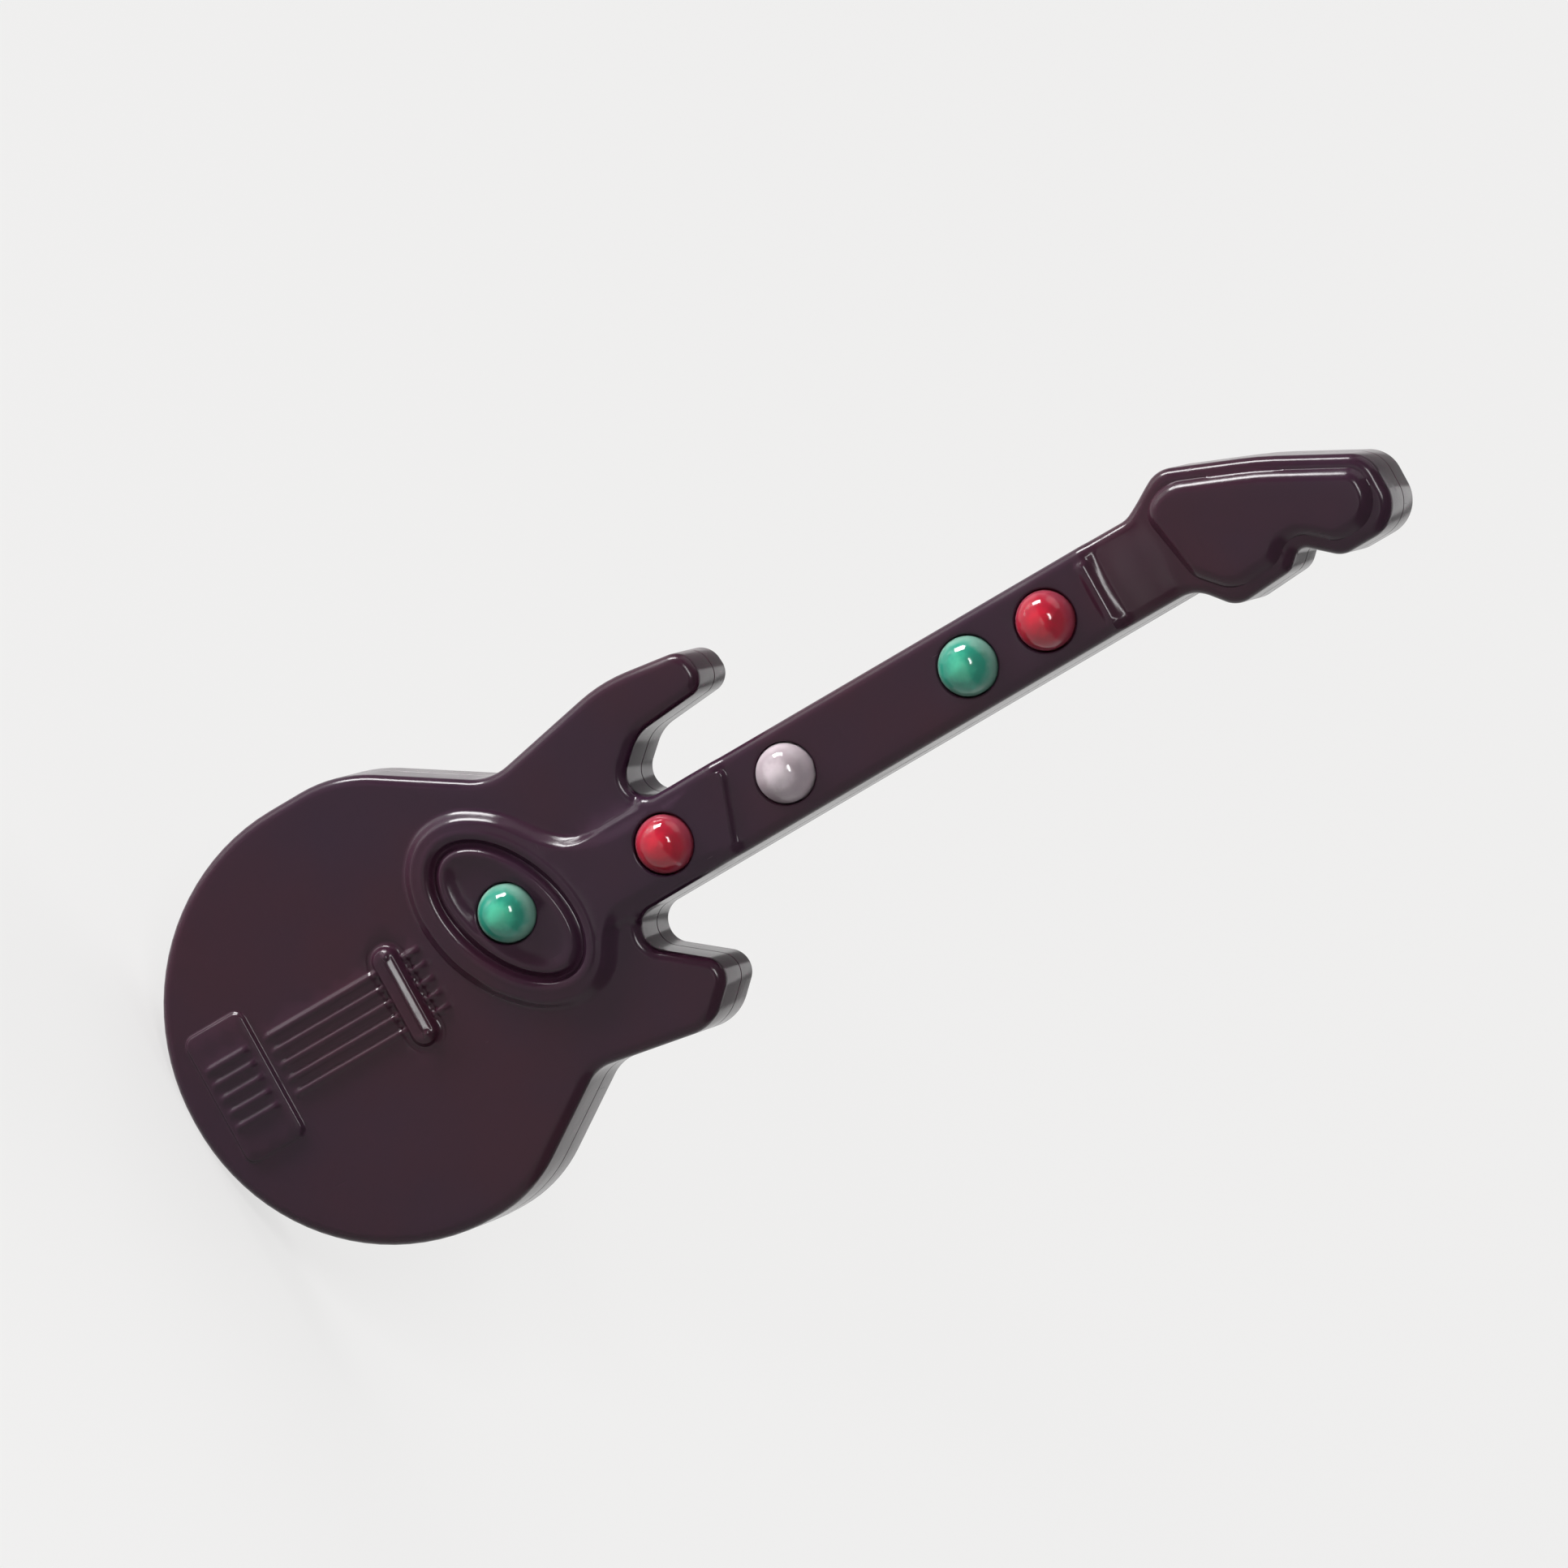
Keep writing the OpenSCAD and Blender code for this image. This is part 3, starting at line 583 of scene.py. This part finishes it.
def backMoulding(material):
    skin = Skin()
    r, steps, seam, parting = guitar["edgeRound"], guitar["edgeSteps"], guitar["seam"], neck["parting"]
    inner = skin.add(withDepth(outline(silhouette, back["wall"]), back["floor"]))
    loops = [inner, skin.add(withDepth(outline(silhouette, back["wall"]), parting)),
             skin.add(withDepth(outline(silhouette, seam), parting)),
             skin.add(withDepth(outline(silhouette), parting - seam))]
    for k in range(steps + 1):
        turn = math.pi / 2 * (1 - k / steps)
        ring = outline(silhouette, r * (1 - math.sin(turn)))
        loops.append(skin.add(withDepth(ring, r - r * math.cos(turn))))
    for a, b in zip(loops, loops[1:]):
        skin.band(a, b)
    outerHoles, innerHoles, outerTests, innerTests = [], [], [], []
    for spot in screws["spots"]:
        rim = screws["recess"] + screws["round"]
        profile = quarter(rim, screws["round"], screws["round"], 270, 180, 4)
        profile += [(screws["recess"] * k / 4, screws["seat"]) for k in (4, 3, 2, 1)]
        profile += [(1e-3, screws["seat"])]
        outerHoles.append(turned(skin, spot, profile)[0])
        outerTests.append((spot, rim))
        boss = [(screws["boss"], back["floor"]), (screws["boss"], parting), (1e-3, parting)]
        innerHoles.append(turned(skin, spot, boss)[0])
        innerTests.append((spot, screws["boss"]))
    foot, end = post["radius"] + post["fillet"], -post["length"]
    profile = quarter(foot, -post["fillet"], post["fillet"], 90, 180, 6)
    profile += quarter(post["radius"] - post["round"], end + post["round"], post["round"], 0, -90, 6)
    curl = post["boreRound"]
    profile += quarter(post["bore"] + curl, end + curl, curl, 270, 180, 4)
    profile += [(post["bore"], back["floor"])]
    rings = turned(skin, (post["across"], post["along"]), profile, 72)
    outerHoles.append(rings[0])
    innerHoles.append(rings[-1])
    outerTests.append(((post["across"], post["along"]), foot))
    innerTests.append(((post["across"], post["along"]), post["bore"]))
    fillPlan(skin, loops[-1], outerHoles, [], lambda p: np.zeros(len(p)), 2.0, outerTests)
    fillPlan(skin, inner, innerHoles, [], lambda p: np.full(len(p), back["floor"]), 0, innerTests)
    return skin.build("backMoulding", material, 35)


lens = {"lip": 0.4, "step": 1.0, "round": 0.12, "ringSteps": 14, "sides": 56}


def lightLens(i, material):
    across, along, low, high = lights[i]
    node = f"{lightNames[i]}_light_lens"
    boxLow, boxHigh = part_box(node)
    flange = (boxHigh.x - boxLow.x) / 2 / mm
    radius, step, e = flange - lens["lip"], lens["step"], lens["round"]
    skin = Skin()
    profile = [(1e-3, low), (flange - e, low)] + quarter(flange - e, low + e, e, -90, 0, 3)[1:]
    profile += quarter(flange - e, low + step - e, e, 0, 90, 3) + [(radius, low + step)]
    profile += quarter(0, high - radius, radius, 0, 89.9, lens["ringSteps"])
    turned(skin, (across, along), profile, lens["sides"])
    piece = skin.build(f"{lightNames[i]}LightLens", material, 40)
    out = [math.hypot(p.co.x / mm - across, (p.co.z - strapEnd) / mm - along) / radius
           for p in piece.data.vertices]
    piece.data.attributes.new("lensRadius", "FLOAT", "POINT").data.foreach_set("value", out)
    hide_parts(node)
    return piece


class Sock:
    def __init__(self, shader, socket):
        self.shader, self.socket = shader, socket

    def math(self, operation, a, b):
        return self.shader.node("Math", {"operation": operation}, {0: a, 1: b})

    def __add__(self, other):
        return self.math("ADD", self, other)

    def __sub__(self, other):
        return self.math("SUBTRACT", self, other)

    def __rsub__(self, other):
        return self.math("SUBTRACT", other, self)

    def __mul__(self, other):
        return self.math("MULTIPLY", self, other)

    __radd__ = __add__
    __rmul__ = __mul__


# the nodes of one material or world
class Shader:
    def __init__(self, owner):
        owner.use_nodes = True
        self.owner, self.tree = owner, owner.node_tree
        self.tree.nodes.clear()

    # any node: its type, its settings, the values or links of its sockets, the wanted output
    def node(self, kind, settings=None, inputs=None, output=0):
        made = self.tree.nodes.new("ShaderNode" + kind)
        for key, value in (settings or {}).items():
            if key == "stops":
                ramp = made.color_ramp.elements
                while len(ramp) < len(value):
                    ramp.new(0.5)
                for element, (at, colour) in zip(ramp, value):
                    element.position, element.color = at, (*colour, 1)
            else:
                setattr(made, key, value)
        for key, value in (inputs or {}).items():
            if isinstance(value, Sock):
                self.tree.links.new(value.socket, made.inputs[key])
            else:
                made.inputs[key].default_value = value
        return Sock(self, made.outputs[output]) if made.outputs else made

    def seenBy(self, *rays):
        seen = self.node("LightPath", output=rays[0])
        for ray in rays[1:]:
            other = self.node("LightPath", output=ray)
            seen = self.node("Math", {"operation": "MAXIMUM"}, {0: seen, 1: other})
        return seen

    # noise with its middle at 0, from about -1 to 1
    def noise(self, scale, detail=3.0, roughness=0.5, stretch=(1, 1, 1), turn=(0, 0, 0), distortion=0.0):
        place = self.node("Mapping", {}, {"Vector": self.place, "Rotation": turn, "Scale": stretch})
        raw = self.node("TexNoise", {}, {
            "Vector": place, "Scale": scale, "Detail": detail, "Roughness": roughness,
            "Distortion": distortion})
        return (raw - 0.5) * 3.0

    def ease(self, value, low, high, start=0.0, end=1.0):
        return self.node("MapRange", {"interpolation_type": "SMOOTHSTEP"}, {
            "Value": value, "From Min": low, "From Max": high, "To Min": start, "To Max": end})

    def mix(self, factor, a, b):
        return self.node("Mix", {"data_type": "RGBA"}, {0: factor, 6: a, 7: b}, output=2)

    def attribute(self, name):
        return self.node("Attribute", {"attribute_name": name}, output="Fac")

    def bump(self, height, distance, strength=1.0):
        return self.node("Bump", {}, {"Height": height, "Distance": distance, "Strength": strength})

    def finish(self, inputs):
        surface = self.node("BsdfPrincipled", {}, inputs)
        self.node("OutputMaterial", {}, {"Surface": surface})
        return self.owner


def finishOf(name):
    s = Shader(bpy.data.materials.new(name))
    s.place = s.node("TexCoord", output="Object")
    return s


def rgb(red, green, blue):
    return (red, green, blue, 1.0)


plum = {
    "warm": rgb(0.0215, 0.0058, 0.011), "cool": rgb(0.0165, 0.0064, 0.014),
    "worn": rgb(0.08, 0.055, 0.075), "gloss": 0.17, "smudge": 0.1, "scratch": 0.08, "wear": 0.08,
    "specular": 0.24, "relief": 0.00006,
}


def plumPlastic():
    s = finishOf("plumPlastic")
    mottle = s.ease(s.noise(45, 3, 0.6), -0.6, 0.6)
    colour = s.mix(mottle, plum["cool"], plum["warm"])
    edge = s.attribute("edgeWear")
    wear = s.ease(edge + s.noise(900, 4, 0.7) * 0.35, 0.72, 1.15)
    colour = s.mix(wear * 0.6, colour, plum["worn"])
    hairs = s.ease(s.noise(300, 2, 0.5, (1, 1, 14), (0.3, 0.8, 0.2)), 0.62, 0.9)
    crossing = s.ease(s.noise(260, 2, 0.5, (16, 1, 1), (0.1, -0.5, 0.9)), 0.64, 0.9)
    scratches = hairs + crossing
    smudges = s.ease(s.noise(110, 4, 0.65, distortion=0.6), -0.1, 0.9)
    roughness = (plum["gloss"] + smudges * plum["smudge"] + scratches * plum["scratch"]
                 + wear * plum["wear"])
    height = s.noise(90, 2) * 0.6 + s.noise(1500, 2) * 0.035 - scratches * 0.1
    return s.finish({
        "Base Color": colour, "Roughness": roughness, "IOR": 1.5, "Specular IOR Level": plum["specular"],
        "Normal": s.bump(height, plum["relief"])})


# lens colours: the centre colour is the epoxy's tint lightened by a painted glow of the reflector cup
# inside, the middle colour is darker, and the rim colour is lightened by a painted reflection of the pale
# surroundings
epoxies = {
    "green": {
        "core": rgb(0.045, 0.35, 0.22), "middle": rgb(0.012, 0.175, 0.12), "rim": rgb(0.13, 0.26, 0.21)},
    "red": {
        "core": rgb(0.39, 0.006, 0.021), "middle": rgb(0.26, 0.005, 0.018),
        "rim": rgb(0.23, 0.035, 0.055)},
    "clear": {
        "core": rgb(0.46, 0.4, 0.425), "middle": rgb(0.27, 0.225, 0.245), "rim": rgb(0.36, 0.305, 0.33)},
}
epoxyBody = {"through": 0.25, "milk": 0.3, "milkDepth": 0.0009, "specular": 0.4, "cloud": 800}


def epoxy(name):
    look = epoxies[name]
    s = finishOf(f"{name}Epoxy")
    cloud = s.noise(epoxyBody["cloud"], 2, 0.6)
    out = s.attribute("lensRadius")
    # painted glow at the lens's centre and painted pale reflection towards its edge, set by distance from
    # the lens axis; the cloud noise breaks up their borders
    colour = s.mix(s.ease(out + cloud * 0.16, 0.2, 0.62), look["core"], look["middle"])
    colour = s.mix(s.ease(out + cloud * 0.07, 0.7, 0.98), colour, look["rim"])
    roughness = s.ease(s.noise(1100, 3), -0.6, 0.9) * 0.12 + 0.04
    return s.finish({
        "Base Color": colour, "Roughness": roughness, "IOR": 1.55,
        "Specular IOR Level": epoxyBody["specular"], "Transmission Weight": epoxyBody["through"],
        "Subsurface Weight": epoxyBody["milk"], "Subsurface Radius": (1, 1, 1),
        "Subsurface Scale": epoxyBody["milkDepth"], "Normal": s.bump(s.noise(420, 2), 0.00005)})


def metal(name, colour, dark, rough):
    s = finishOf(name)
    tone = s.ease(s.noise(1400, 4, 0.6), -0.7, 0.9)
    brushed = s.noise(2500, 2, 0.5, (1, 1, 9))
    return s.finish({
        "Base Color": s.mix(tone, dark, colour), "Metallic": 1.0,
        "Roughness": s.ease(s.noise(1800, 3), -0.8, 0.8, rough - 0.06, rough + 0.12),
        "Normal": s.bump(brushed, 0.00002)})


lacquer = {"dark": rgb(0.008, 0.05, 0.022), "light": rgb(0.014, 0.085, 0.035),
           "track": rgb(0.03, 0.15, 0.06), "trackPitch": 0.0009, "trackLength": 0.006}


def boardLacquer():
    s = finishOf("boardLacquer")
    across = s.node("SeparateXYZ", {}, {"Vector": s.place}, output="X")
    up = s.node("SeparateXYZ", {}, {"Vector": s.place}, output="Z")
    line = s.node("Math", {"operation": "PINGPONG"}, {0: across + 0.0002, 1: lacquer["trackPitch"]})
    gap = s.node("Math", {"operation": "PINGPONG"}, {0: up, 1: lacquer["trackLength"]})
    track = s.ease(line, 0.0007, 0.00082) * s.ease(gap, 0.0003, 0.0006)
    base = s.mix(s.ease(s.noise(500, 4, 0.6), -0.8, 0.8), lacquer["dark"], lacquer["light"])
    colour = s.mix(track, base, lacquer["track"])
    weave = s.node("TexWave", {"bands_direction": "X"}, {
        "Vector": s.place, "Scale": 900.0, "Distortion": 1.0})
    return s.finish({
        "Base Color": colour, "Roughness": s.ease(s.noise(900), -0.8, 0.8, 0.25, 0.42),
        "Normal": s.bump(track + weave * 0.1, 0.00003)})


def plainPlastic(name, light, dark, rough, grain=1200):
    s = finishOf(name)
    tone = s.ease(s.noise(grain * 0.2, 3, 0.6), -0.8, 0.8)
    return s.finish({
        "Base Color": s.mix(tone, dark, light),
        "Roughness": s.ease(s.noise(grain, 3), -0.8, 0.8, rough - 0.06, rough + 0.1),
        "Normal": s.bump(s.noise(grain, 3), 0.00003)})


def dress(material, *nodes):
    for node in nodes:
        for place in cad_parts[node].material_slots:
            place.material = material


wearLook = {"reach": 2, "edge": 0.0006, "shortest": 2e-5, "most": 1.2}


# how close each point of the moulding is to a worn edge, from its surface's turn
def markWear(piece):
    mesh = piece.data
    normals = np.zeros(len(mesh.vertices) * 3)
    mesh.vertices.foreach_get("normal", normals)
    normals = normals.reshape(-1, 3)
    spots = np.zeros(len(mesh.vertices) * 3)
    mesh.vertices.foreach_get("co", spots)
    spots = spots.reshape(-1, 3)
    ends = np.zeros(len(mesh.edges) * 2, np.int32)
    mesh.edges.foreach_get("vertices", ends)
    a, b = ends.reshape(-1, 2).T
    along = spots[b] - spots[a]
    length = np.maximum(np.linalg.norm(along, axis=1), wearLook["shortest"])
    bend = ((normals[b] - normals[a]) * along).sum(1) / length ** 2
    total, count = np.zeros(len(spots)), np.zeros(len(spots))
    for end in (a, b):
        np.add.at(total, end, np.clip(bend * wearLook["edge"], -1, 1.5))
        np.add.at(count, end, 1)
    wear = total / np.maximum(count, 1)
    for _ in range(wearLook["reach"]):
        spread, share = wear.copy(), np.ones(len(wear))
        for p, q in ((a, b), (b, a)):
            np.add.at(spread, p, wear[q])
            np.add.at(share, p, 1)
        wear = spread / share
    layer = mesh.attributes.new("edgeWear", "FLOAT", "POINT")
    layer.data.foreach_set("value", np.clip(wear, 0, wearLook["most"]).astype(np.float32))


def shellPiece(piece, node):
    markWear(piece)
    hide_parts(node)
    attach(piece, "root")
    print(f"{piece.name}: {len(piece.data.polygons)} faces")
    return piece


plastic = plumPlastic()
front = shellPiece(frontMoulding(plastic), "front_shell")
rear = shellPiece(backMoulding(plastic), "back_shell")

lensColours = ["green", "red", "clear", "green", "red"]
epoxyFinishes = {name: epoxy(name) for name in epoxies}
lenses = []
for i, colour in enumerate(lensColours):
    piece = lightLens(i, epoxyFinishes[colour])
    lenses.append(piece)
    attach(piece, "root")
print("five light lenses")

# each finish has a name, a light tone, a dark tone and a roughness
tinned = ("tinnedSteel", rgb(0.72, 0.7, 0.66), rgb(0.42, 0.4, 0.38), 0.28)
screwed = ("screwSteel", rgb(0.55, 0.54, 0.53), rgb(0.3, 0.29, 0.28), 0.32)
innerPlastics = {
    "resistors": ("chipCeramic", rgb(0.03, 0.03, 0.032), rgb(0.012, 0.012, 0.014), 0.4),
    "lead_header": ("headerNylon", rgb(0.8, 0.77, 0.68), rgb(0.66, 0.62, 0.52), 0.45),
    "jumper_wire_red": ("redInsulation", rgb(0.6, 0.02, 0.02), rgb(0.4, 0.01, 0.015), 0.4),
    "jumper_wire_yellow": ("yellowInsulation", rgb(0.8, 0.5, 0.03), rgb(0.6, 0.36, 0.02), 0.4),
    "jumper_wire_white": ("whiteInsulation", rgb(0.8, 0.79, 0.75), rgb(0.62, 0.6, 0.56), 0.4),
}
dress(metal(*tinned), "header_pins", *[f"{name}_light_legs" for name in lightNames])
dress(metal(*screwed), "shell_screws", "board_screws")
dress(boardLacquer(), "body_board", "neck_board")
for node, finish in innerPlastics.items():
    dress(plainPlastic(*finish), node)
print("inner pieces dressed")


studio = {
    "floor": rgb(0.88, 0.875, 0.87), "pale": rgb(0.96, 0.955, 0.95), "paleness": 0.72, "reach": 6.0,
    "world": 0.38, "worldSeen": 0.9,
}


def studioFloor():
    mesh = bpy.data.meshes.new("studioFloor")
    reach = studio["reach"]
    corners = [(-reach, -reach, strapEnd), (reach, -reach, strapEnd), (reach, reach, strapEnd),
               (-reach, reach, strapEnd)]
    mesh.from_pydata(corners, [], [(0, 1, 2, 3)])
    floor = bpy.data.objects.new("studioFloor", mesh)
    bpy.context.scene.collection.objects.link(floor)
    s = Shader(bpy.data.materials.new("paleFloor"))
    shown = s.seenBy("Is Camera Ray", "Is Glossy Ray", "Is Transmission Ray")
    matt = s.node("BsdfPrincipled", {}, {
        "Base Color": studio["floor"], "Roughness": 0.9, "Specular IOR Level": 0.1})
    pale = s.node("Emission", {}, {"Color": studio["pale"]})
    surface = s.node("MixShader", {}, {0: shown * studio["paleness"], 1: matt, 2: pale})
    s.node("OutputMaterial", {}, {"Surface": surface})
    mesh.materials.append(s.owner)


def studioWorld():
    world = bpy.data.worlds.new("studioWorld")
    bpy.context.scene.world = world
    s = Shader(world)
    strength = s.node("MapRange", {}, {
        "Value": s.seenBy("Is Camera Ray", "Is Transmission Ray"),
        "To Min": studio["world"], "To Max": studio["worldSeen"]})
    s.node("OutputWorld", {}, {"Surface": s.node("Background", {}, {"Strength": strength})})


# each lamp's way is from the guitar's middle; its distance and size are in metres, its power in watts
lamps = {
    "stripBox": {"way": (-0.95, -0.17, -0.2), "distance": 0.6, "size": (0.14, 0.75), "power": 14},
    "topBox": {"way": (-0.6, 0.2, 0.9), "distance": 1.6, "size": (1.4, 1.4), "power": 6.5},
    "frontBox": {"way": (-0.1, -0.82, 0.55), "distance": 1.2, "size": (0.5, 0.16), "power": 5},
    "lowBox": {"way": (-0.07, -1.0, 0.03), "distance": 1.0, "size": (0.5, 0.12), "power": 0.25},
    "backBox": {"way": (0.3, 0.85, 0.5), "distance": 1.2, "size": (0.9, 0.9), "power": 2.5},
}
view = {"right": (0.485, 0, 0.875), "back": (0.072, -1, 0.30), "distance": 0.9, "lens": 250.0}
target = (cadLow + cadHigh) / 2


def softbox(name, way, distance, size, power):
    light = bpy.data.lights.new(name, "AREA")
    light.shape = "RECTANGLE"
    light.size, light.size_y = size
    light.energy = power
    lamp = bpy.data.objects.new(name, light)
    bpy.context.scene.collection.objects.link(lamp)
    way = Vector(way).normalized()
    lamp.location = target + way * distance
    lamp.rotation_mode = "QUATERNION"
    lamp.rotation_quaternion = way.to_track_quat("Z", "Y")
    lamp.visible_camera = False
    return lamp


def mainCamera():
    data = bpy.data.cameras.new("mainCamera")
    data.lens, data.sensor_width = view["lens"], 36.0
    data.clip_start, data.clip_end = 0.01, 50
    camera = bpy.data.objects.new("mainCamera", data)
    bpy.context.scene.collection.objects.link(camera)
    back = Vector(view["back"]).normalized()
    right = Vector(view["right"]).normalized()
    right = (right - back * right.dot(back)).normalized()
    camera.location = target + back * view["distance"]
    place = Matrix.Identity(4)
    for column, axis in enumerate((right, back.cross(right), back, camera.location)):
        for row in range(3):
            place[row][column] = axis[row]
    camera.matrix_world = place
    bpy.context.scene.camera = camera


studioFloor()
studioWorld()
softboxes = {name: softbox(name, **lamp) for name, lamp in lamps.items()}
moulded = bpy.data.collections.new("mouldedPieces")
for piece in (front, rear, *lenses):
    moulded.objects.link(piece)
# the strip is partly below the floor, so the floor neither shades it nor takes its light
softboxes["stripBox"].light_linking.blocker_collection = moulded
softboxes["stripBox"].light_linking.receiver_collection = moulded
mainCamera()
bpy.context.scene.view_settings.view_transform = "Standard"
print("studio ready")
